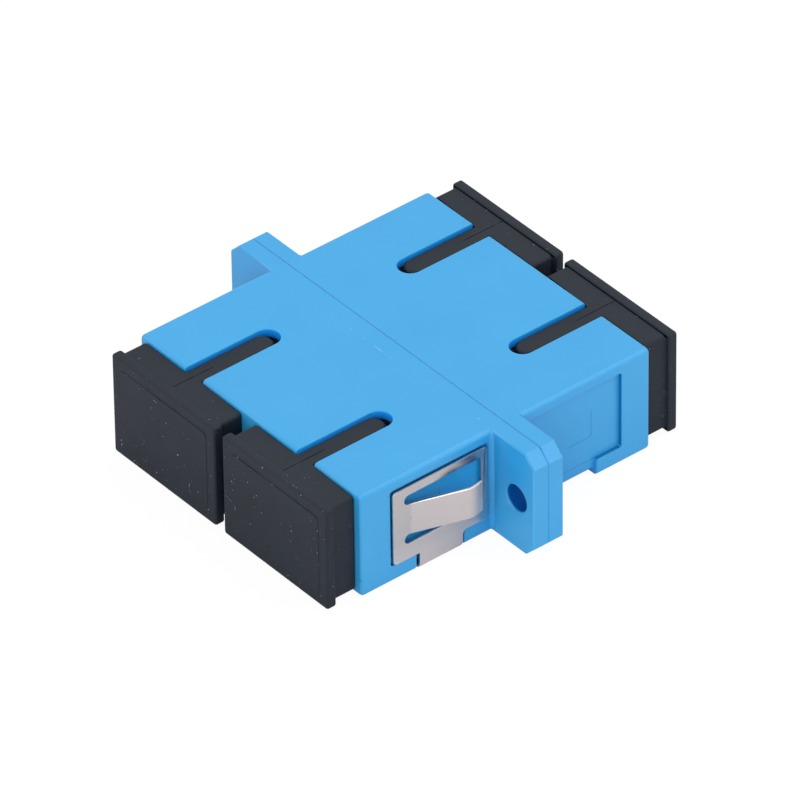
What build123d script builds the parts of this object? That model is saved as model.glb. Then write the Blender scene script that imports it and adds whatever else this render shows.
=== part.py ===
from build123d import *
import math
import os

# A duplex fibre optic adapter with a panel flange, its side spring clip and four dust caps.
# Millimetres. X runs across the two ports, Y along the plug axis and Z up.
# The origin is at the bottom of the body, midway across it, in the plane of the seam.

# Body of one moulded half, from the seam to its port face
body_width = 25.2
body_height = 9.1
half_length = 13.5
body_edge_radius = 0.4
port_face_edge_radius = 0.3

# Panel flange of one half
flange_width = 34.5
flange_half_thickness = 1.4
flange_corner_chamfer = 1.0
flange_edge_chamfer = 0.12
flange_root_clearance = 0.05
seam_chamfer = 0.07
hole_end_margin = 1.95
hole_diameter = 2.2
hole_edge_chamfer = 0.08

# Ports and their key slots
port_pitch = 12.7
port_width = 9.1
port_height = 7.5
port_lead_in = 0.2
slot_width = 2.0
slot_length = 7.8

# Recess for the spring clip on each side, and the channel under the body for its strap
recess_depth = 0.35
recess_flange_margin = 0.38
recess_end_margin = 2.7
recess_top_margin = 0.9
recess_bottom_margin = 1.47
recess_corner_radius = 0.2
channel_width = 4.4
channel_near_ledge = 2.25
channel_near_corner = 0.5
channel_far_corner = 0.15
channel_edge_radius = 0.5
pad_depth = 0.03
pad_end_margin = 2.58
pad_low_margin = 2.06
pad_length = 2.27
pad_height = 2.65
pad_corner_radius = 0.3

# Spring clip, one folded strip of stainless sheet
sheet_thickness = 0.25
clip_stand_out = 0.2
clip_near_gap = 0.17
clip_far_gap = 0.08
clip_edge_gap = 0.1
clip_corner_radius = 0.35
clip_bend_radius = 0.65
strap_near_gap = 0.25
strap_far_gap = 0.13
strap_corner_radius = 0.4
window_near_bar = 0.56
window_far_bar = 1.07
window_height = 4.34
window_lift = 0.3
window_corner_radius = 0.2
tongue_width = 2.7
tongue_root_margin = 1.5
tongue_run = 4.67
tongue_rise = 1.55
tongue_tip_run = 1.08
tongue_tip_drop = 0.25
tongue_bend_radius = 1.6

# Latch frame that carries the sleeve in each port half
frame_plate_width = 9.8
frame_plate_height = 7.9
frame_plate_thickness = 1.1
frame_clearance = 0.1
frame_plate_corner = 0.5
tube_outer_diameter = 4.6
tube_length = 6.3
tube_lip_thickness = 0.4
tube_lip_bore = 2.8
tube_mouth_diameter = 3.5
arm_outer_offset = 3.55
arm_thickness = 0.65
arm_height = 3.0
arm_length = 8.2
hook_length = 1.0
hook_depth = 0.5
hook_flat = 0.25

# Split alignment sleeve
ferrule_bore = 2.5
sleeve_outer_diameter = 3.2
sleeve_length = 11.4
sleeve_slit = 0.5
sleeve_clearance = 0.1

# Dust cap
cap_pair_gap = 0.9
cap_plate_thickness = 0.85
cap_plate_top_drop = 0.12
cap_plate_bottom_rise = 0.12
cap_plate_corner_radius = 0.26
cap_plate_edge_radius = 0.2
cap_panel_margin = 0.95
cap_panel_rise = 0.04
cap_panel_corner_radius = 0.4
cap_neck_side_inset = 0.3
cap_neck_length = 1.95
cap_neck_top_drop = 0.25
cap_neck_bottom_rise = 0.4
cap_neck_corner_radius = 0.35
cap_seat_gap = 0.1
cap_plug_clearance = 0.15
cap_plug_depth = 7.0
cap_plug_wall = 0.6
cap_plug_corner_radius = 0.4
cap_end_wall = 1.9
key_side_clearance = 0.1
key_end_gap = 0.65
key_end_bevel = 0.15

# Places worked out from the sizes above
port_x = port_pitch / 2
port_z = body_height / 2
hole_spacing = flange_width - 2 * hole_end_margin
recess_near = flange_half_thickness + recess_flange_margin
recess_far = half_length - recess_end_margin
recess_low = recess_bottom_margin
recess_high = body_height - recess_top_margin
channel_near = recess_near + channel_near_ledge
channel_far = channel_near + channel_width
side_x = body_width / 2
floor_x = side_x - recess_depth
clip_face_x = side_x + clip_stand_out
flange_root_chamfer = clip_stand_out + flange_root_clearance
clip_near = recess_near + clip_near_gap
clip_far = recess_far - clip_far_gap
clip_low = recess_low + clip_edge_gap
clip_high = recess_high - clip_edge_gap
window_z = (clip_low + clip_high) / 2 + window_lift
tongue_root = clip_far - tongue_root_margin
strap_near = channel_near + strap_near_gap
strap_far = channel_far - strap_far_gap
sleeve_seat_diameter = sleeve_outer_diameter + 2 * sleeve_clearance
cap_outer_face = half_length + cap_seat_gap + cap_neck_length + cap_plate_thickness
cap_plate_width = port_pitch - cap_pair_gap
cap_neck_width = cap_plate_width - 2 * cap_neck_side_inset
cap_neck_height = body_height - cap_neck_top_drop - cap_neck_bottom_rise
cap_plate_height = body_height - cap_plate_top_drop - cap_plate_bottom_rise
key_width = slot_width - 2 * key_side_clearance
key_length = slot_length - key_end_gap

# How far a cutting solid runs past the face that it opens
past = 1.0


def section(depth):
    """The plane across the plug axis at a distance from the seam, facing the front ports."""
    return Plane.XZ.offset(depth)


def block(x, z, width, height, near, far, corner=0.0):
    """A straight solid along the plug axis, centred at x and z, from near to far of the seam."""
    outline = RectangleRounded(width, height, corner) if corner else Rectangle(width, height)
    return extrude(section(near) * Pos(x, z) * outline, amount=far - near)


def rod(x, z, diameter, near, far):
    """A round solid along the plug axis, from near to far of the seam."""
    return extrude(section(near) * Pos(x, z) * Circle(diameter / 2), amount=far - near)


def turned(shape):
    """The same piece at the rear of the seam: half a turn about the upright axis."""
    return Rot(0, 0, 180) * shape


def flange_outline(inset=0.0):
    """Rectangle with its four corners cut at 45 degrees."""
    outline = Rectangle(flange_width - 2 * inset, body_height - 2 * inset)
    return chamfer(outline.vertices(), flange_corner_chamfer)


def flange_half():
    """Flange of one half, with a fine groove at the seam and broken outer edges."""
    middle = flange_half_thickness - seam_chamfer - flange_edge_chamfer
    centre = Pos(0, port_z)
    plate = extrude(section(seam_chamfer) * centre * flange_outline(), amount=middle)
    seam_side = section(seam_chamfer) * centre * flange_outline()
    plate += extrude(seam_side, amount=seam_chamfer, dir=(0, 1, 0), taper=45)
    outer_side = section(flange_half_thickness - flange_edge_chamfer) * centre * flange_outline()
    plate += extrude(outer_side, amount=flange_edge_chamfer, taper=45)
    return plate


def recess_cutter():
    """Side recess for a clip plate, open downwards between two rounded ledges where the strap passes."""
    outline = Pos(-(recess_near + recess_far) / 2, (recess_low + recess_high) / 2) * RectangleRounded(
        recess_far - recess_near, recess_high - recess_low, recess_corner_radius
    )
    way_down = Rectangle(channel_width, port_z + past)
    outline += Pos(-(channel_near + channel_far) / 2, (port_z - past) / 2) * way_down
    for ledge_end, radius in ((channel_near, channel_near_corner), (channel_far, channel_far_corner)):
        corner = outline.vertices().sort_by_distance((-ledge_end, recess_low))[0:1]
        outline = fillet(corner, radius)
    return extrude(Plane.YZ.offset(floor_x) * outline, amount=recess_depth + past)


def pad_cutter():
    """Faint rounded panel in the recess floor, left by a mould insert."""
    outline = RectangleRounded(pad_length, pad_height, pad_corner_radius)
    middle_y = pad_length / 2 - (recess_far - pad_end_margin)
    middle_z = recess_low + pad_low_margin + pad_height / 2
    place = Plane.YZ.offset(floor_x - pad_depth) * Pos(middle_y, middle_z)
    return extrude(place * outline, amount=recess_depth)


def strap_channel():
    """Channel under the body, from recess to recess, rounded where the sheet bends round it."""
    width = 2 * (side_x + past)
    length = channel_width
    middle = -(channel_near + channel_far) / 2
    cut = Pos(0, middle, (recess_depth - past) / 2) * Box(width, length, recess_depth + past)
    radius = channel_edge_radius
    for side in (-1, 1):
        corner = Pos(side * (floor_x - radius / 2), middle, recess_depth + radius / 2)
        roll = Pos(side * (floor_x - radius), middle, recess_depth + radius)
        cut += corner * Box(radius, length, radius) - roll * Rot(90, 0, 0) * Cylinder(radius, length)
    return cut


def port_cutter(x):
    """Plug opening, its lead-in, its key slot and the pocket that holds the latch frame."""
    cut = block(x, port_z, port_width, port_height, frame_plate_thickness, half_length + past)
    pocket_width = frame_plate_width + 2 * frame_clearance
    pocket_height = frame_plate_height + 2 * frame_clearance
    cut += block(x, port_z, pocket_width, pocket_height, -past, frame_plate_thickness)
    mouth = section(half_length - port_lead_in) * Pos(x, port_z) * Rectangle(port_width, port_height)
    cut += extrude(mouth, amount=port_lead_in, taper=-45)
    straight = slot_length - slot_width / 2
    slot = Pos(x, -(half_length - straight)) * Circle(slot_width / 2)
    slot += Pos(x, -(half_length - straight / 2 + past / 2)) * Rectangle(slot_width, straight + past)
    cut += extrude(Plane.XY.offset(port_z) * slot, amount=body_height)
    return cut


def screw_hole_cutter(x):
    """Through hole in an ear, with its outer edge broken."""
    cut = rod(x, port_z, hole_diameter, -past, flange_half_thickness + past)
    rim = section(flange_half_thickness - hole_edge_chamfer) * Pos(x, port_z)
    cut += extrude(rim * Circle(hole_diameter / 2), amount=hole_edge_chamfer, taper=-45)
    return cut


def housing_half():
    """One moulded half at the front of the seam. The rear half is the same moulding turned round."""
    body = block(0, port_z, body_width, body_height, seam_chamfer, half_length, body_edge_radius)
    port_face = body.faces().sort_by(Axis.Y)[0]
    body = fillet(port_face.edges(), port_face_edge_radius)
    root = RectangleRounded(
        body_width + 2 * flange_root_chamfer, body_height, body_edge_radius + flange_root_chamfer
    )
    root_place = section(flange_half_thickness) * Pos(0, port_z)
    half = body + flange_half() + extrude(root_place * root, amount=flange_root_chamfer, taper=45)
    for x in (-port_x, port_x):
        half -= port_cutter(x)
    for x in (-hole_spacing / 2, hole_spacing / 2):
        half -= screw_hole_cutter(x)
    half -= strap_channel()
    for cutter in (recess_cutter(), pad_cutter()):
        half -= cutter
        half -= mirror(cutter, about=Plane.YZ)
    return half


def clip_plate():
    """Side plate of the clip, in the recess. Its window ends in a round slot on each side of the tongue."""
    outline = Pos(-(clip_near + clip_far) / 2, (clip_low + clip_high) / 2) * RectangleRounded(
        clip_far - clip_near, clip_high - clip_low, clip_corner_radius
    )
    leg_drop = 2 * strap_corner_radius
    leg = Rectangle(strap_far - strap_near, leg_drop + clip_corner_radius)
    outline += Pos(-(strap_near + strap_far) / 2, clip_low + (clip_corner_radius - leg_drop) / 2) * leg
    inside_corner = outline.vertices().sort_by_distance((-strap_near, clip_low))[0:1]
    outline = fillet(inside_corner, strap_corner_radius)
    far_end = clip_far - window_far_bar
    near_end = clip_near + window_near_bar
    window = Pos(-(tongue_root + near_end) / 2, window_z) * Rectangle(tongue_root - near_end, window_height)
    window = fillet(window.vertices().sort_by(Axis.X)[-2:], window_corner_radius)
    relief_width = (window_height - tongue_width) / 2
    relief_length = far_end - tongue_root + relief_width
    for side in (-1, 1):
        relief_z = window_z + side * (tongue_width + relief_width) / 2
        window += Pos(-far_end + relief_length / 2, relief_z) * SlotOverall(relief_length, relief_width)
    inner_face = Plane.YZ.offset(clip_face_x - sheet_thickness)
    return extrude(inner_face * (outline - window), amount=sheet_thickness)


def clip_tongue():
    """Spring tongue of the side plate, bent outwards and turned back a little at its tip."""
    root_y = -tongue_root
    bend_y = root_y + tongue_run
    bend_x = clip_face_x + tongue_rise
    slope = math.atan2(tongue_rise, tongue_run)
    tip_y = bend_y + tongue_tip_run
    tip_x = bend_x - tongue_tip_drop
    tip_slope = math.atan2(-tongue_tip_drop, tongue_tip_run)
    mean = (slope + tip_slope) / 2
    bend_share = sheet_thickness / math.cos((slope - tip_slope) / 2)
    outline = make_face(
        Polyline(
            (clip_face_x, root_y),
            (bend_x, bend_y),
            (tip_x, tip_y),
            (tip_x - sheet_thickness * math.cos(tip_slope), tip_y + sheet_thickness * math.sin(tip_slope)),
            (bend_x - bend_share * math.cos(mean), bend_y + bend_share * math.sin(mean)),
            (clip_face_x - sheet_thickness, root_y + sheet_thickness * math.tan(slope / 2)),
            (clip_face_x - sheet_thickness, root_y),
            close=True,
        )
    )
    outer_bend = outline.vertices().sort_by_distance((bend_x, bend_y, 0))[0:1]
    outline = fillet(outer_bend, tongue_bend_radius + sheet_thickness)
    inner = (bend_x - bend_share * math.cos(mean), bend_y + bend_share * math.sin(mean), 0)
    outline = fillet(outline.vertices().sort_by_distance(inner)[0:1], tongue_bend_radius)
    return extrude(Plane.XY.offset(window_z - tongue_width / 2) * outline, amount=tongue_width)


def spring_clip():
    """The whole clip: a strap under the body, folded up into a plate on each side."""
    rise = clip_low + clip_corner_radius
    width = 2 * clip_face_x
    outer = RectangleRounded(width, 2 * body_height, clip_bend_radius)
    inner_radius = clip_bend_radius - sheet_thickness
    inner = RectangleRounded(
        width - 2 * sheet_thickness, 2 * (body_height - sheet_thickness), inner_radius
    )
    upper_part = Pos(0, rise + body_height) * Rectangle(2 * body_width, 2 * body_height)
    profile = section(strap_near) * ((Pos(0, body_height) * (outer - inner)) - upper_part)
    clip = extrude(profile, amount=strap_far - strap_near)
    side = clip_plate() + clip_tongue()
    return clip + side + mirror(side, about=Plane.YZ)


def latch_frame(x):
    """Plate clamped at the seam, with the sleeve tube and two hooked latch arms."""
    thick = frame_plate_thickness
    frame = block(x, port_z, frame_plate_width, frame_plate_height, 0, thick, frame_plate_corner)
    frame += rod(x, port_z, tube_outer_diameter, 0, tube_length)
    inner = arm_outer_offset - arm_thickness
    for side in (-1, 1):
        outline = make_face(
            Polyline(
                (x + side * arm_outer_offset, -thick / 2),
                (x + side * inner, -thick / 2),
                (x + side * inner, -(arm_length - hook_length)),
                (x + side * (inner - hook_depth), -(arm_length - hook_length)),
                (x + side * (inner - hook_depth), -(arm_length - hook_length + hook_flat)),
                (x + side * inner, -arm_length),
                (x + side * arm_outer_offset, -arm_length),
                close=True,
            )
        )
        frame += extrude(Plane.XY.offset(port_z - arm_height / 2) * outline, amount=arm_height)
    lip_face = tube_length - tube_lip_thickness
    frame -= rod(x, port_z, sleeve_seat_diameter, -past, lip_face)
    flare = Cone(tube_mouth_diameter / 2, tube_lip_bore / 2, tube_lip_thickness)
    frame -= Pos(x, -(lip_face + tube_lip_thickness / 2), port_z) * Rot(-90, 0, 0) * flare
    return frame


def split_sleeve(x):
    """Ceramic alignment sleeve across the seam, slit along its top."""
    reach = sleeve_length / 2
    sleeve = rod(x, port_z, sleeve_outer_diameter, -reach, reach)
    sleeve -= rod(x, port_z, ferrule_bore, -reach - past, reach + past)
    sleeve -= Pos(x, 0, port_z + sleeve_outer_diameter / 2) * Box(
        sleeve_slit, sleeve_length + past, sleeve_outer_diameter
    )
    return sleeve


def dust_cap(x):
    """Push-in cap: end plate, neck, hollow plug in the port and a key in the slot."""
    plate_inner = cap_outer_face - cap_plate_thickness
    plate_z = cap_plate_bottom_rise + cap_plate_height / 2
    plate = block(
        x, plate_z, cap_plate_width, cap_plate_height, plate_inner, cap_outer_face, cap_plate_corner_radius
    )
    plate = fillet(plate.faces().sort_by(Axis.Y)[0].edges(), cap_plate_edge_radius)
    plate = fillet(plate.faces().sort_by(Axis.Y)[-1].edges(), cap_plate_edge_radius)
    plate += block(
        x,
        plate_z,
        cap_plate_width - 2 * cap_panel_margin,
        cap_plate_height - 2 * cap_panel_margin,
        plate_inner + cap_plate_thickness / 2,
        cap_outer_face + cap_panel_rise,
        cap_panel_corner_radius,
    )
    neck_z = cap_neck_bottom_rise + cap_neck_height / 2
    neck_near = half_length + cap_seat_gap
    neck_far = cap_outer_face - cap_plate_thickness / 2
    neck = block(x, neck_z, cap_neck_width, cap_neck_height, neck_near, neck_far, cap_neck_corner_radius)
    plug_width = port_width - 2 * cap_plug_clearance
    plug_height = port_height - 2 * cap_plug_clearance
    plug_near = half_length - cap_plug_depth
    plug = block(x, port_z, plug_width, plug_height, plug_near, neck_far, cap_plug_corner_radius)
    key_top = body_height - cap_neck_top_drop
    straight = key_length - key_width / 2
    key_outline = Pos(x, -(half_length - straight)) * Circle(key_width / 2)
    key_outline += Pos(x, -(half_length - straight / 2 + cap_seat_gap)) * Rectangle(
        key_width, straight + 2 * cap_seat_gap
    )
    key_base = port_z + plug_height / 2 - cap_plug_wall
    key = extrude(Plane.XY.offset(key_base) * key_outline, amount=key_top - key_base)
    key = chamfer(key.edges().filter_by(GeomType.CIRCLE).sort_by(Axis.Z)[-1:], key_end_bevel)
    hollow_width = plug_width - 2 * cap_plug_wall
    hollow_height = plug_height - 2 * cap_plug_wall
    hollow = block(x, port_z, hollow_width, hollow_height, plug_near - past, cap_outer_face - cap_end_wall)
    return plate + neck + plug + key - hollow


front_housing = housing_half()
pieces = {
    "housing_front": front_housing,
    "housing_rear": turned(front_housing),
    "spring_clip": spring_clip(),
}
for side_name, side in (("left", -1), ("right", 1)):
    pieces[f"latch_frame_front_{side_name}"] = latch_frame(side * port_x)
    pieces[f"latch_frame_rear_{side_name}"] = turned(latch_frame(-side * port_x))
    pieces[f"split_sleeve_{side_name}"] = split_sleeve(side * port_x)
    pieces[f"dust_cap_front_{side_name}"] = dust_cap(side * port_x)
    pieces[f"dust_cap_rear_{side_name}"] = turned(dust_cap(-side * port_x))

os.makedirs("parts", exist_ok=True)
for name, piece in pieces.items():
    export_step(piece, f"parts/{name}.step")
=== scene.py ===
import math

import bmesh
import bpy
from mathutils import Matrix, Vector


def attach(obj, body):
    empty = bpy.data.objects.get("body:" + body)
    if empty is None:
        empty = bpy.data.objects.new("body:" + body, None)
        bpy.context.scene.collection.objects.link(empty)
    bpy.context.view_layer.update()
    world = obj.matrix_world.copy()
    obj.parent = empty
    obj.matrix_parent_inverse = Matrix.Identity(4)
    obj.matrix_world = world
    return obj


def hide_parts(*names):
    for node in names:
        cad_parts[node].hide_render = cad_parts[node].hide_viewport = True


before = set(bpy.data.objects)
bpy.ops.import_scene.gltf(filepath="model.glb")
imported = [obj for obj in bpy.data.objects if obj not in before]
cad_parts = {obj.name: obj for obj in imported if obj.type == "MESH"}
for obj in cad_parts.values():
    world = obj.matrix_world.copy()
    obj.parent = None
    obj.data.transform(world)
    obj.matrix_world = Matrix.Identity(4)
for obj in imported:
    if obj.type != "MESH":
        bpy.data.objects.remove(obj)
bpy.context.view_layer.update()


# Latch frames: four natural white mouldings, one in each port half. Each is a plate clamped at the
# seam with a tube for the sleeve and two hooked arms that catch the plug. Seen once a cap is off.
mm = 0.001


def fill(socket, value):
    """Links an output to a socket, or writes a plain value on it."""
    if isinstance(value, bpy.types.NodeSocket):
        socket.id_data.links.new(value, socket)
    else:
        socket.default_value = value


def add_node(tree, kind, inputs, **settings):
    """A shader node with its settings, and its inputs by name or number."""
    node = tree.nodes.new("ShaderNode" + kind)
    for name, value in settings.items():
        setattr(node, name, value)
    for name, value in inputs.items():
        fill(node.inputs[name], value)
    return node


def start_material(name, **finish):
    """A material with its principled shader, whose plain values are set on its own sockets."""
    material = bpy.data.materials.new(name)
    material.use_nodes = True
    tree = material.node_tree
    shader = tree.nodes["Principled BSDF"]
    for label, value in finish.items():
        fill(shader.inputs[label.replace("_", " ")], value)
    return material, tree, shader


def grain(tree, size, detail=2.0, roughness=0.5, stretch=(1, 1, 1)):
    """Noise in the piece's own coordinates, with lumps of this size in metres."""
    place = add_node(tree, "TexCoord", {}).outputs["Object"]
    if stretch != (1, 1, 1):
        place = add_node(tree, "Mapping", {"Vector": place, "Scale": stretch}).outputs["Vector"]
    inputs = {"Vector": place, "Scale": 1 / size, "Detail": detail, "Roughness": roughness}
    return add_node(tree, "TexNoise", inputs).outputs["Fac"]


def shade(tree, value, first, second):
    """A colour between two, by a value from 0 to 1."""
    mix = add_node(tree, "Mix", {"Factor": value}, data_type="RGBA")
    fill(mix.inputs["A"], first)
    fill(mix.inputs["B"], second)
    return mix.outputs["Result"]


def dent(tree, height, depth, normal=None):
    """A bump of this depth in metres from a height between 0 and 1."""
    inputs = {"Height": height, "Distance": depth}
    if normal is not None:
        inputs["Normal"] = normal
    return add_node(tree, "Bump", inputs).outputs["Normal"]


frame_tones = (0.70, 0.69, 0.64, 1), (0.80, 0.79, 0.75, 1)


def natural_white():
    material, tree, shader = start_material(
        "natural_white_plastic", Roughness=0.42, Specular_IOR_Level=0.4, Subsurface_Weight=0.15,
        Subsurface_Radius=(0.6, 0.5, 0.4), Subsurface_Scale=0.4 * mm,
    )
    cloud = grain(tree, size=1.2 * mm)
    fill(shader.inputs["Base Color"], shade(tree, cloud, *frame_tones))
    fill(shader.inputs["Normal"], dent(tree, grain(tree, size=0.06 * mm, detail=3), depth=2e-6))
    return material


frame_white = natural_white()
for end in ("front", "rear"):
    for side in ("left", "right"):
        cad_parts[f"latch_frame_{end}_{side}"].data.materials[0] = frame_white


# Split sleeves: two zirconia tubes, ground inside and out and slit along the top. Each floats in
# the tubes of a front and a rear latch frame and lines up the two ferrules.
sleeve_tones = (0.84, 0.83, 0.80, 1), (0.90, 0.89, 0.87, 1)


def ground_ceramic():
    material, tree, shader = start_material(
        "ground_zirconia", Roughness=0.12, IOR=2.1, Subsurface_Weight=0.3,
        Subsurface_Radius=(0.5, 0.45, 0.4), Subsurface_Scale=0.5 * mm,
    )
    turning = grain(tree, size=0.05 * mm, stretch=(1, 12, 1))
    fill(shader.inputs["Base Color"], shade(tree, turning, *sleeve_tones))
    fill(shader.inputs["Normal"], dent(tree, turning, depth=0.5e-6))
    return material


sleeve_white = ground_ceramic()
for side in ("left", "right"):
    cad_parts[f"split_sleeve_{side}"].data.materials[0] = sleeve_white


# Housing: two like halves moulded in blue plastic and welded at the seam across the flange. The
# moulding's corners are slightly rounded, which shows as a fine light line along each of them.
def eased_copy(node, name, radius):
    """A copy of a CAD piece whose sharp corners are rounded, which stands for that piece."""
    straight = math.radians(0.3)
    corner_angle = math.radians(50)
    crease_angle = math.radians(32)
    least_room = 2.5 * radius
    shape = bmesh.new()
    shape.from_mesh(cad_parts[node].data)
    bmesh.ops.remove_doubles(shape, verts=shape.verts[:], dist=0.0002 * mm)
    bmesh.ops.dissolve_limit(shape, angle_limit=straight, verts=shape.verts[:], edges=shape.edges[:])
    corners = []
    for edge in shape.edges:
        if len(edge.link_faces) == 2 and edge.calc_face_angle() > corner_angle:
            room = min(face.calc_area() for face in edge.link_faces) / edge.calc_length()
            if room > least_room:
                corners.append(edge)
    bmesh.ops.bevel(
        shape, geom=corners, offset=radius, offset_type="OFFSET", segments=2, profile=0.5,
        affect="EDGES", loop_slide=True, clamp_overlap=False,
    )
    for face in shape.faces:
        face.smooth = True
    for edge in shape.edges:
        edge.smooth = len(edge.link_faces) == 2 and edge.calc_face_angle() < crease_angle
    mesh = bpy.data.meshes.new(name)
    shape.to_mesh(mesh)
    shape.free()
    if mesh.attributes.get("custom_normal"):
        mesh.attributes.remove(mesh.attributes["custom_normal"])
    piece = bpy.data.objects.new(name, mesh)
    bpy.context.scene.collection.objects.link(piece)
    weighted = piece.modifiers.new("flat faces stay flat", "WEIGHTED_NORMAL")
    weighted.keep_sharp = True
    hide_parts(node)
    return piece


def calculate(tree, operation, *values):
    """One step of arithmetic on values or outputs."""
    return add_node(tree, "Math", dict(enumerate(values)), operation=operation).outputs[0]


def axes(tree):
    """The piece's own coordinates, split into x, y and z."""
    place = add_node(tree, "TexCoord", {}).outputs["Object"]
    return add_node(tree, "SeparateXYZ", {"Vector": place}).outputs


def grade(tree, value, start=0, stop=1, first=0, last=1):
    """Runs from first to last while a value goes from start to stop."""
    ends = {"From Min": start, "From Max": stop, "To Min": first, "To Max": last}
    return add_node(tree, "MapRange", {"Value": value, **ends}).outputs["Result"]


def spread(tree, noise, low=0, high=1):
    """Widens noise, which mostly lies between 0.3 and 0.7, to a span from low to high."""
    return grade(tree, noise, start=0.3, stop=0.7, first=low, last=high)


def within(tree, distance, reach, softness):
    """One while a distance is below its reach, falling to nothing across the softness."""
    half = softness / 2
    return grade(tree, distance, start=reach - half, stop=reach + half, first=1, last=0)


def near(tree, value, middle, reach, softness):
    """One while a coordinate is within reach of a middle value."""
    distance = calculate(tree, "ABSOLUTE", calculate(tree, "SUBTRACT", value, middle))
    return within(tree, distance, reach, softness)


def overlap(tree, mask, *more):
    """The share where all these masks overlap. A number among them makes it weaker."""
    for other in more:
        mask = calculate(tree, "MULTIPLY", mask, other)
    return mask


def long_side(tree, first, second):
    """The length of the long side over two short sides at a right angle."""
    squares = [calculate(tree, "POWER", side, 2) for side in (first, second)]
    return calculate(tree, "SQRT", calculate(tree, "ADD", *squares))


def spot(tree, point, reach, softness):
    """A round patch about a point, in the piece's own coordinates."""
    place = add_node(tree, "TexCoord", {}).outputs["Object"]
    away = add_node(tree, "VectorMath", {0: place, 1: point}, operation="SUBTRACT").outputs[0]
    distance = add_node(tree, "VectorMath", {0: away}, operation="LENGTH").outputs["Value"]
    return within(tree, distance, reach, softness)


port_x = 6.35 * mm
port_z = 4.55 * mm
body_top_z = 9.1 * mm
slot_radius = 1 * mm
slot_straight_y = 6.7 * mm
recess_floor_x = 12.25 * mm
recess_middle_x = 12.39 * mm
recess_half_depth = 0.15 * mm
recess_end_y = 10.8 * mm
recess_ledge_z = 1.47 * mm
recess_top_z = 8.25 * mm
ear_root_x = 12.9 * mm
ear_end_x = 17.25 * mm
flange_front_y = -1.4 * mm
hole_x = 15.3 * mm
hole_radius = 1.1 * mm
housing_edge_radius = 0.07 * mm
body_tones = (0.036, 0.365, 0.745, 1), (0.040, 0.385, 0.770, 1)
hole_shade_blue = (0.001, 0.105, 0.41, 1)
ear_seam_light_blue = (0.045, 0.42, 0.82, 1)
top_seam_shade_blue = (0.012, 0.17, 0.40, 1)
top_seam_shade_strength = 0.35
recess_wall_shade_blue = (0.010, 0.19, 0.42, 1)
slot_rim_highlight_blue = (0.05, 0.54, 0.98, 1)
slot_wall_shade_blue = (0.012, 0.31, 0.95, 1)
recess_floor_shade_tones = (0.034, 0.325, 0.715, 1), (0.028, 0.435, 0.90, 1)
ear_front_shade_tones = (0.026, 0.345, 0.735, 1), (0.046, 0.405, 0.785, 1)
edge_highlight_blue = (0.10, 0.52, 0.92, 1)
scuff_blue = (0.42, 0.66, 0.90, 1)
pale_speck_blue = (0.36, 0.64, 0.92, 1)
dark_speck_blue = (0.02, 0.20, 0.46, 1)
pale_specks = (-3.16, -1.49, 0.035), (-1.65, -1.46, 0.035), (10.93, -1.25, 0.05)
dark_specks = (1.26, -4.55, 0.05), (4.12, 10.43, 0.045), (11.33, 0, 0.06)


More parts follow.
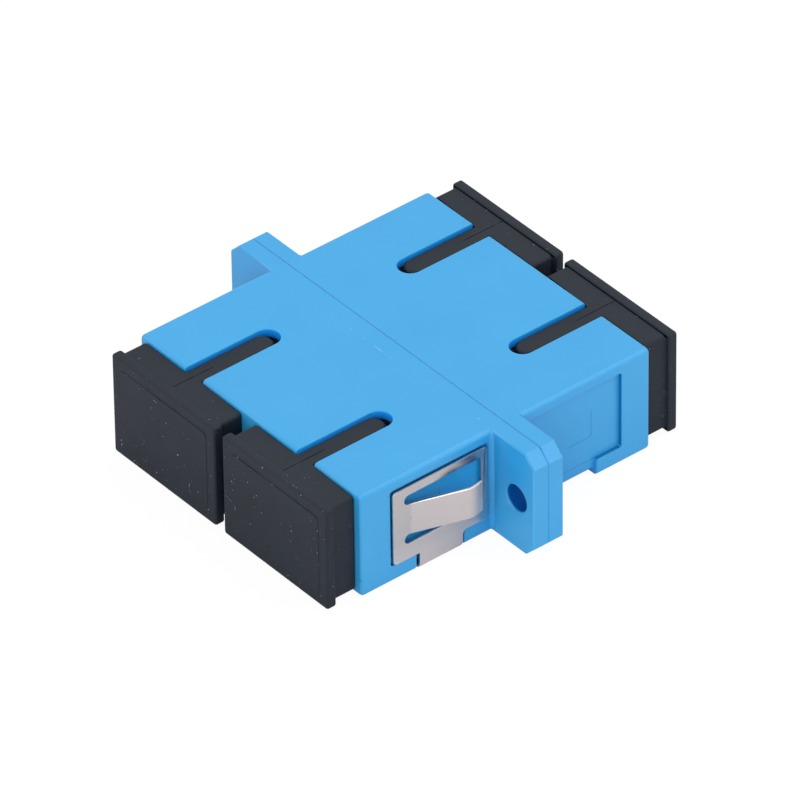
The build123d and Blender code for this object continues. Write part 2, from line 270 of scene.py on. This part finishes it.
def moulded_blue():
    material, tree, shader = start_material("moulded_blue_plastic", Roughness=0.36)
    x, y, z = axes(tree)
    out_x = calculate(tree, "ABSOLUTE", x)
    out_y = calculate(tree, "ABSOLUTE", y)
    colour = shade(tree, spread(tree, grain(tree, size=6 * mm)), *body_tones)

    # The screw holes are painted dark inside, as painted shade in their bores
    from_hole_x = calculate(tree, "SUBTRACT", out_x, hole_x)
    from_hole = long_side(tree, from_hole_x, calculate(tree, "SUBTRACT", z, port_z))
    in_hole = within(tree, from_hole, reach=hole_radius + 0.04 * mm, softness=0.04 * mm)
    inside_ear = within(tree, out_y, reach=1.28 * mm, softness=0.25 * mm)
    hole = overlap(tree, in_hole, inside_ear)
    colour = shade(tree, hole, colour, hole_shade_blue)

    # The weld line's groove is painted paler down the ears, as painted light, and faintly darker
    # across the top, as painted shade
    seam = within(tree, out_y, reach=0.05 * mm, softness=0.04 * mm)
    on_top = calculate(tree, "GREATER_THAN", z, body_top_z - 0.2 * mm)
    seam_light_on_ears = overlap(tree, seam, calculate(tree, "SUBTRACT", 1, on_top))
    seam_shade_on_top = overlap(tree, seam, on_top, top_seam_shade_strength)
    colour = shade(tree, seam_light_on_ears, colour, ear_seam_light_blue)
    colour = shade(tree, seam_shade_on_top, colour, top_seam_shade_blue)

    # The end wall and the ledge of each side recess see little light, and are painted darker as shade
    end_wall = near(tree, out_y, recess_end_y, reach=0.03 * mm, softness=0.02 * mm)
    ledge = near(tree, z, recess_ledge_z, reach=0.03 * mm, softness=0.02 * mm)
    in_recess = near(tree, out_x, recess_middle_x, reach=recess_half_depth, softness=0.06 * mm)
    below_top = calculate(tree, "LESS_THAN", z, recess_top_z)
    recess_wall_shade = overlap(tree, calculate(tree, "MAXIMUM", end_wall, ledge), in_recess, below_top)
    colour = shade(tree, recess_wall_shade, colour, recess_wall_shade_blue)

    # The key slots' walls are painted a deeper blue as shade, with a painted highlight on the paler
    # rim where they round into the top
    across_slot = calculate(tree, "SUBTRACT", out_x, port_x)
    past_straight = calculate(tree, "SUBTRACT", out_y, slot_straight_y)
    into_round_end = calculate(tree, "MINIMUM", past_straight, 0)
    from_slot_middle = long_side(tree, across_slot, into_round_end)
    slot_wall = near(tree, from_slot_middle, slot_radius, reach=0.03 * mm, softness=0.03 * mm)
    slot_wall = overlap(tree, slot_wall, calculate(tree, "LESS_THAN", z, body_top_z - 0.01 * mm))
    below_rim = within(tree, z, reach=body_top_z - 0.12 * mm, softness=0.14 * mm)
    colour = shade(tree, slot_wall, colour, slot_rim_highlight_blue)
    colour = shade(tree, overlap(tree, slot_wall, below_rim), colour, slot_wall_shade_blue)

    # The screw holes, the weld line on top and the recess walls also reflect less
    sunken = calculate(tree, "MAXIMUM", calculate(tree, "MAXIMUM", hole, seam_shade_on_top), recess_wall_shade)
    fill(shader.inputs["Specular IOR Level"], grade(tree, sunken, first=0.5, last=0.05))

    # The recess floor behind the clip is painted lighter towards the flange, and the ear's front face
    # lighter towards the paper that it stands on: painted light and shade
    recess_floor = near(tree, out_x, recess_floor_x, reach=0.03 * mm, softness=0.03 * mm)
    in_front_half = calculate(tree, "LESS_THAN", y, -2 * mm)
    recess_floor = overlap(tree, recess_floor, in_front_half)
    towards_flange = grade(tree, y, start=-9 * mm, stop=-5 * mm)
    colour = shade(tree, recess_floor, colour, shade(tree, towards_flange, *recess_floor_shade_tones))
    flange_front = near(tree, y, flange_front_y, reach=0.03 * mm, softness=0.02 * mm)
    ear_front = overlap(tree, flange_front, calculate(tree, "GREATER_THAN", out_x, ear_root_x))
    towards_paper = grade(tree, z, start=6.5 * mm, stop=2 * mm)
    colour = shade(tree, ear_front, colour, shade(tree, towards_paper, *ear_front_shade_tones))

    # The flange's front upright corners carry a painted highlight, a lighter line
    at_front = near(tree, y, flange_front_y, reach=0.07 * mm, softness=0.06 * mm)
    at_end = near(tree, out_x, ear_end_x, reach=0.07 * mm, softness=0.06 * mm)
    colour = shade(tree, overlap(tree, at_front, at_end), colour, edge_highlight_blue)

    # Handling marks: a broken scuff along the flange's front edge, and a few pale and dark specks
    # on top, each given by its x, its y and its radius in millimetres
    along_edge = near(tree, y, flange_front_y - 0.07 * mm, reach=0.025 * mm, softness=0.03 * mm)
    near_middle = near(tree, x, 0.5 * mm, reach=0.95 * mm, softness=0.2 * mm)
    broken = spread(tree, grain(tree, size=0.3 * mm, detail=1), low=-0.4, high=0.9)
    colour = shade(tree, overlap(tree, along_edge, near_middle, broken), colour, scuff_blue)
    for speck_x, speck_y, radius in pale_specks:
        speck = spot(tree, (speck_x * mm, speck_y * mm, body_top_z), radius * mm, softness=0.04 * mm)
        colour = shade(tree, speck, colour, pale_speck_blue)
    for speck_x, speck_y, radius in dark_specks:
        speck = spot(tree, (speck_x * mm, speck_y * mm, body_top_z), radius * mm, softness=0.05 * mm)
        colour = shade(tree, speck, colour, dark_speck_blue)
    fill(shader.inputs["Base Color"], colour)

    # Fine grain over slight waves, and one raised pip in the mould pad of the rear right recess
    waves = dent(tree, grain(tree, size=2.5 * mm, detail=1), depth=6e-6)
    relief = dent(tree, grain(tree, size=0.05 * mm, detail=3), depth=1.5e-6, normal=waves)
    pip = spot(tree, (recess_floor_x, 7.06 * mm, 4.74 * mm), reach=0.07 * mm, softness=0.08 * mm)
    fill(shader.inputs["Normal"], dent(tree, pip, depth=8e-6, normal=relief))
    return material


housing_blue = moulded_blue()
for end in ("front", "rear"):
    half = eased_copy(f"housing_{end}", f"housing_{end}_moulding", housing_edge_radius)
    half.data.materials.append(housing_blue)
    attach(half, "adapter")


# Spring clip: one strip of stainless sheet folded under the body and up both sides. Each side has
# a stamped window with a tongue bent out of it, which snaps behind the panel.
clip_face_x = 12.8 * mm
clip_top_z = 8.06 * mm
clip_edge_radius = 0.075 * mm
plate_shade_tones = (0.55, 0.515, 0.52, 1), (0.60, 0.565, 0.57, 1)
tongue_lit_tones = (0.62, 0.565, 0.56, 1), (0.68, 0.625, 0.62, 1)
sheared_grey = (0.26, 0.28, 0.33, 1)
pit_grey = (0.22, 0.22, 0.25, 1)
low_plate_reflection_grey = (0.67, 0.63, 0.635, 1)


def rolled_steel():
    material, tree, shader = start_material("rolled_stainless", Metallic=1.0)
    x, y, z = axes(tree)
    out_x = calculate(tree, "ABSOLUTE", x)
    rolling = grain(tree, size=0.25 * mm, detail=3, roughness=0.6, stretch=(1, 0.12, 1))

    # The tongues, bent out of the flat plates, are painted brighter than the plates, as painted
    # reflections of the floor, and the sheared top edge is darker
    on_plate = within(tree, out_x, reach=clip_face_x + 0.04 * mm, softness=0.06 * mm)
    tongue = shade(tree, rolling, *tongue_lit_tones)
    colour = shade(tree, on_plate, tongue, shade(tree, rolling, *plate_shade_tones))
    colour = shade(tree, calculate(tree, "GREATER_THAN", z, clip_top_z), colour, sheared_grey)

    # The right plate has one dark pit. Both plates are painted paler low down, a painted reflection of
    # the paper near them
    pit = spot(tree, (clip_face_x, -9.09 * mm, 5.24 * mm), reach=0.06 * mm, softness=0.05 * mm)
    colour = shade(tree, pit, colour, pit_grey)
    low = grade(tree, z, start=3.4 * mm, stop=1.6 * mm)
    colour = shade(tree, overlap(tree, low, on_plate), colour, low_plate_reflection_grey)
    fill(shader.inputs["Base Color"], colour)

    # The tongues grow duller past their bend, where they rub on the panel
    past_bend = grade(tree, y, start=-5.1 * mm, stop=-4.4 * mm, last=0.3)
    rubbed = overlap(tree, past_bend, calculate(tree, "SUBTRACT", 1, on_plate))
    polish = spread(tree, rolling, low=0.22, high=0.28)
    fill(shader.inputs["Roughness"], calculate(tree, "ADD", polish, rubbed))
    fill(shader.inputs["Normal"], dent(tree, rolling, depth=0.25e-6))
    return material


clip = eased_copy("spring_clip", "spring_clip_sheet", clip_edge_radius)
clip.data.materials.append(rolled_steel())
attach(clip, "adapter")


# Dust caps: four soft black mouldings pushed into the ports. Each has a plate to grip, a neck, a
# hollow plug and a key in the slot on top, with a fine line on top where the mould halves met.
cap_edge_radius = 0.1 * mm
neck_top_z = 8.7 * mm
key_middle_y = 13.6 * mm
key_half_length = 1.9 * mm
plate_back_y = 15.52 * mm
panel_step_y = 16.42 * mm
panel_top_z = 7.7 * mm
cap_tones = (0.005, 0.010, 0.018, 1), (0.007, 0.013, 0.024, 1)
step_light_grey = (0.060, 0.068, 0.082, 1)
parting_line_black = (0.001, 0.0015, 0.003, 1)


def soft_black():
    material, tree, shader = start_material("soft_black_plastic", Roughness=0.62)
    x, y, z = axes(tree)
    out_x = calculate(tree, "ABSOLUTE", x)
    out_y = calculate(tree, "ABSOLUTE", y)
    colour = shade(tree, spread(tree, grain(tree, size=2.5 * mm, detail=3)), *cap_tones)

    # The step round the plate's panel is painted paler at the sides and in patches along the top,
    # painted light that eases the shade along it
    step = near(tree, out_y, panel_step_y, reach=0.018 * mm, softness=0.004 * mm)
    at_sides = calculate(tree, "LESS_THAN", z, panel_top_z)
    patches = spread(tree, grain(tree, size=3 * mm, detail=0), low=-0.6)
    painted_step_light = overlap(tree, step, calculate(tree, "MAXIMUM", at_sides, patches))
    colour = shade(tree, painted_step_light, colour, step_light_grey)

    # The parting line runs along the key, and on the rear caps across the foot of the plate too
    on_key = near(tree, out_x, port_x, reach=0.045 * mm, softness=0.04 * mm)
    along_key = near(tree, out_y, key_middle_y, reach=key_half_length, softness=0.1 * mm)
    faded = spread(tree, grain(tree, size=0.8 * mm, detail=1), low=0.4)
    key_line = overlap(tree, on_key, along_key, faded)
    plate_foot = near(tree, y, plate_back_y, reach=0.05 * mm, softness=0.04 * mm)
    on_top = calculate(tree, "GREATER_THAN", z, neck_top_z)
    line = overlap(tree, calculate(tree, "MAXIMUM", key_line, plate_foot), on_top)
    fill(shader.inputs["Base Color"], shade(tree, line, colour, parting_line_black))
    fill(shader.inputs["Specular IOR Level"], grade(tree, line, first=0.36, last=0.02))

    # Fine grain over slight waves, with the parting line sunk into them
    waves = dent(tree, grain(tree, size=0.8 * mm), depth=5e-6)
    relief = dent(tree, grain(tree, size=0.04 * mm, detail=3), depth=3e-6, normal=waves)
    fill(shader.inputs["Normal"], dent(tree, line, depth=-25e-6, normal=relief))
    return material


cap_black = soft_black()
caps = {}
for end in ("front", "rear"):
    for side in ("left", "right"):
        node = f"dust_cap_{end}_{side}"
        cap = eased_copy(node, f"{node}_moulding", cap_edge_radius)
        cap.data.materials.append(cap_black)
        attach(cap, node)
        caps[node] = cap


# Dust: pale flecks that cling to the outer faces of the caps, and one short thread of lint on each
# front cap. The flecks are strewn over each cap's own mesh and stay on it.
dust_tones = (0.06, 0.065, 0.075, 1), (0.70, 0.71, 0.73, 1)
dust_contrast = 2.5
fleck_small_bias = 3
fleck_thickness = 0.5
thread_y = -16.43 * mm
thread_radius = 0.02 * mm


def pale_dust():
    material, tree, shader = start_material("pale_dust", Roughness=0.9, Specular_IOR_Level=0.1)
    tone = spread(tree, grain(tree, size=0.5 * mm, detail=0), low=0.05)
    tone = calculate(tree, "POWER", tone, dust_contrast)
    fill(shader.inputs["Base Color"], shade(tree, tone, *dust_tones))
    return material


def fleck_group(material):
    """Geometry nodes that strew flattened flecks over the part of a mesh outside the housing."""
    group = bpy.data.node_groups.new("strewn_flecks", "GeometryNodeTree")
    inputs = (
        ("Surface", "NodeSocketGeometry", None), ("Flecks per square metre", "NodeSocketFloat", 1.5e6),
        ("Inner end", "NodeSocketFloat", 13.7 * mm), ("Smallest", "NodeSocketFloat", 0.012 * mm),
        ("Largest", "NodeSocketFloat", 0.046 * mm), ("Seed", "NodeSocketInt", 1),
    )
    for label, kind, value in inputs:
        socket = group.interface.new_socket(label, in_out="INPUT", socket_type=kind)
        if value is not None:
            socket.default_value = value
    group.interface.new_socket("Flecks", in_out="OUTPUT", socket_type="NodeSocketGeometry")

    def step(kind, prefix="GeometryNode", **settings):
        node = group.nodes.new(prefix + kind)
        for label, value in settings.items():
            setattr(node, label, value)
        return node

    link = group.links.new
    given = step("GroupInput", "Node").outputs
    place = step("SeparateXYZ", "ShaderNode")
    link(step("InputPosition").outputs[0], place.inputs[0])
    out_along = step("Math", "ShaderNode", operation="ABSOLUTE")
    link(place.outputs["Y"], out_along.inputs[0])
    outside = step("Math", "ShaderNode", operation="GREATER_THAN")
    link(out_along.outputs[0], outside.inputs[0])
    link(given["Inner end"], outside.inputs[1])
    strewn = step("DistributePointsOnFaces", distribute_method="RANDOM")
    link(given["Surface"], strewn.inputs["Mesh"])
    link(outside.outputs[0], strewn.inputs["Selection"])
    link(given["Flecks per square metre"], strewn.inputs["Density"])
    link(given["Seed"], strewn.inputs["Seed"])
    chance = step("RandomValue", "FunctionNode", data_type="FLOAT")
    link(given["Seed"], chance.inputs["Seed"])
    mostly_small = step("Math", "ShaderNode", operation="POWER")
    mostly_small.inputs[1].default_value = fleck_small_bias
    link(chance.outputs["Value"], mostly_small.inputs[0])
    size = step("MapRange", "ShaderNode")
    link(mostly_small.outputs[0], size.inputs["Value"])
    link(given["Smallest"], size.inputs["To Min"])
    link(given["Largest"], size.inputs["To Max"])
    flat = step("CombineXYZ", "ShaderNode")
    low = step("Math", "ShaderNode", operation="MULTIPLY")
    low.inputs[1].default_value = fleck_thickness
    link(size.outputs["Result"], low.inputs[0])
    link(size.outputs["Result"], flat.inputs["X"])
    link(size.outputs["Result"], flat.inputs["Y"])
    link(low.outputs[0], flat.inputs["Z"])
    fleck = step("MeshIcoSphere")
    fleck.inputs["Radius"].default_value = 1
    fleck.inputs["Subdivisions"].default_value = 1
    placed = step("InstanceOnPoints")
    link(strewn.outputs["Points"], placed.inputs["Points"])
    link(fleck.outputs["Mesh"], placed.inputs["Instance"])
    link(strewn.outputs["Rotation"], placed.inputs["Rotation"])
    link(flat.outputs[0], placed.inputs["Scale"])
    whole = step("RealizeInstances")
    link(placed.outputs[0], whole.inputs[0])
    finish = step("SetMaterial")
    finish.inputs["Material"].default_value = material
    link(whole.outputs[0], finish.inputs["Geometry"])
    link(finish.outputs[0], step("GroupOutput", "Node").inputs[0])
    return group


def plain_mesh(shape, name):
    """The finished mesh of an object with modifiers or a bevelled curve, in place of that object."""
    seen = shape.evaluated_get(bpy.context.evaluated_depsgraph_get())
    mesh = bpy.data.meshes.new_from_object(seen)
    bpy.data.objects.remove(shape)
    piece = bpy.data.objects.new(name, mesh)
    bpy.context.scene.collection.objects.link(piece)
    return piece


dust = pale_dust()
flecks = fleck_group(dust)
for seed, (node, cap) in enumerate(caps.items(), 1):
    strewn = bpy.data.objects.new("strewn", cap.data.copy())
    bpy.context.scene.collection.objects.link(strewn)
    nodes = strewn.modifiers.new("flecks", "NODES")
    nodes.node_group = flecks
    for item in flecks.interface.items_tree:
        if item.name == "Seed":
            nodes[item.identifier] = seed
    piece = plain_mesh(strewn, f"{node}_dust")
    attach(piece, node)

# The threads' bends, each given by its x and z in millimetres
threads = {
    "dust_cap_front_right": ((0.77, 3.88), (1.33, 3.66), (1.75, 3.45), (1.90, 3.26), (1.87, 3.07)),
    "dust_cap_front_left": ((-3.39, 2.35), (-3.50, 1.95), (-3.35, 1.60)),
}
for node, bends in threads.items():
    route = bpy.data.curves.new("thread", "CURVE")
    route.dimensions = "3D"
    route.bevel_depth = thread_radius
    route.bevel_resolution = 1
    route.use_fill_caps = True
    line = route.splines.new("NURBS")
    line.points.add(len(bends) - 1)
    for point, (x, z) in zip(line.points, bends):
        point.co = (x * mm, thread_y, z * mm, 1)
    line.order_u = 3
    line.use_endpoint_u = True
    thread = bpy.data.objects.new("thread", route)
    bpy.context.scene.collection.objects.link(thread)
    piece = plain_mesh(thread, f"{node}_lint")
    piece.data.materials.append(dust)
    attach(piece, node)


# Floor: a plain white sheet that the adapter rests on. To the camera it is white all over, with
# the adapter's faint shadow on it.
def paper():
    material = bpy.data.materials.new("white_paper")
    material.use_nodes = True
    tree = material.node_tree
    tree.nodes.remove(tree.nodes["Principled BSDF"])
    seen = add_node(tree, "LightPath", {}).outputs["Is Camera Ray"]
    share = grade(tree, seen, first=0.05, last=0.9)
    matte = add_node(tree, "BsdfDiffuse", {"Color": (0.88, 0.87, 0.87, 1)}).outputs[0]
    white = add_node(tree, "Emission", {"Color": (1, 1, 1, 1), "Strength": 1.04}).outputs[0]
    mix = add_node(tree, "MixShader", {0: share, 1: matte, 2: white})
    fill(tree.nodes["Material Output"].inputs["Surface"], mix.outputs[0])
    return material


floor_half = 0.6
floor_drop = 0.01 * mm
floor_mesh = bpy.data.meshes.new("floor")
floor_corners = []
for x, y in ((-1, -1), (1, -1), (1, 1), (-1, 1)):
    floor_corners.append((x * floor_half, y * floor_half, -floor_drop))
floor_mesh.from_pydata(floor_corners, [], [(0, 1, 2, 3)])
floor = bpy.data.objects.new("floor", floor_mesh)
floor.data.materials.append(paper())
bpy.context.scene.collection.objects.link(floor)


# Light: a white studio tent all round and four soft lamps, the strongest in front. The tent is a
# little dimmer as a lamp than it looks in the camera and in reflections.
def tent():
    world = bpy.data.worlds.new("studio_tent")
    bpy.context.scene.world = world
    world.use_nodes = True
    tree = world.node_tree
    rays = add_node(tree, "LightPath", {}).outputs
    seen = calculate(tree, "MAXIMUM", rays["Is Camera Ray"], rays["Is Glossy Ray"])
    seen = calculate(tree, "MAXIMUM", seen, rays["Is Transmission Ray"])
    soft = add_node(tree, "Background", {"Color": (1, 1, 1, 1), "Strength": 0.685}).outputs[0]
    white = add_node(tree, "Background", {"Color": (1, 1, 1, 1), "Strength": 1.0}).outputs[0]
    mix = add_node(tree, "MixShader", {0: seen, 1: soft, 2: white})
    fill(tree.nodes["World Output"].inputs["Surface"], mix.outputs[0])


def softbox(name, place, size, strength):
    """A square area lamp at a place, turned to the object."""
    lamp = bpy.data.lights.new(name, "AREA")
    lamp.shape = "SQUARE"
    lamp.size = size
    lamp.energy = strength
    holder = bpy.data.objects.new(name, lamp)
    holder.location = place
    holder.rotation_euler = (-Vector(place)).to_track_quat("-Z", "Y").to_euler()
    bpy.context.scene.collection.objects.link(holder)


tent()
softbox("overhead_softbox", (0.03, 0.22, 0.45), size=0.25, strength=0.45)
softbox("rear_right_softbox", (0.31, 0.25, 0.31), size=0.14, strength=0.24)
softbox("front_left_softbox", (-0.31, -0.31, 0.26), size=0.14, strength=0.24)
softbox("front_softbox", (0.30, -0.47, 0.33), size=0.35, strength=1.1)


# Camera: a long lens that looks down on the front right corner. Its place, turn and length were
# found by fitting the adapter's edges to the photograph.
camera_azimuth = math.radians(50.961)
camera_elevation = math.radians(37.589)
camera_roll = math.radians(-0.760)
camera_distance = 782.01 * mm
camera_slide_right = -0.336 * mm
camera_slide_up = 0.681 * mm
focal_length = 485.88
camera_target = Vector((0, 0, 4.6 * mm))

lens = bpy.data.cameras.new("camera")
lens.sensor_width = 36
lens.lens = focal_length
lens.clip_start = 0.01
camera = bpy.data.objects.new("camera", lens)
bpy.context.scene.collection.objects.link(camera)
back = Vector((
    math.sin(camera_azimuth) * math.cos(camera_elevation),
    -math.cos(camera_azimuth) * math.cos(camera_elevation),
    math.sin(camera_elevation),
))
level_right = Vector((math.cos(camera_azimuth), math.sin(camera_azimuth), 0))
level_up = back.cross(level_right)
right = level_right * math.cos(camera_roll) + level_up * math.sin(camera_roll)
up = level_up * math.cos(camera_roll) - level_right * math.sin(camera_roll)
place = camera_target - camera_slide_right * right - camera_slide_up * up + camera_distance * back
camera.matrix_world = Matrix.Translation(place) @ Matrix((right, up, back)).transposed().to_4x4()
bpy.context.scene.camera = camera
bpy.context.scene.view_settings.view_transform = "Standard"
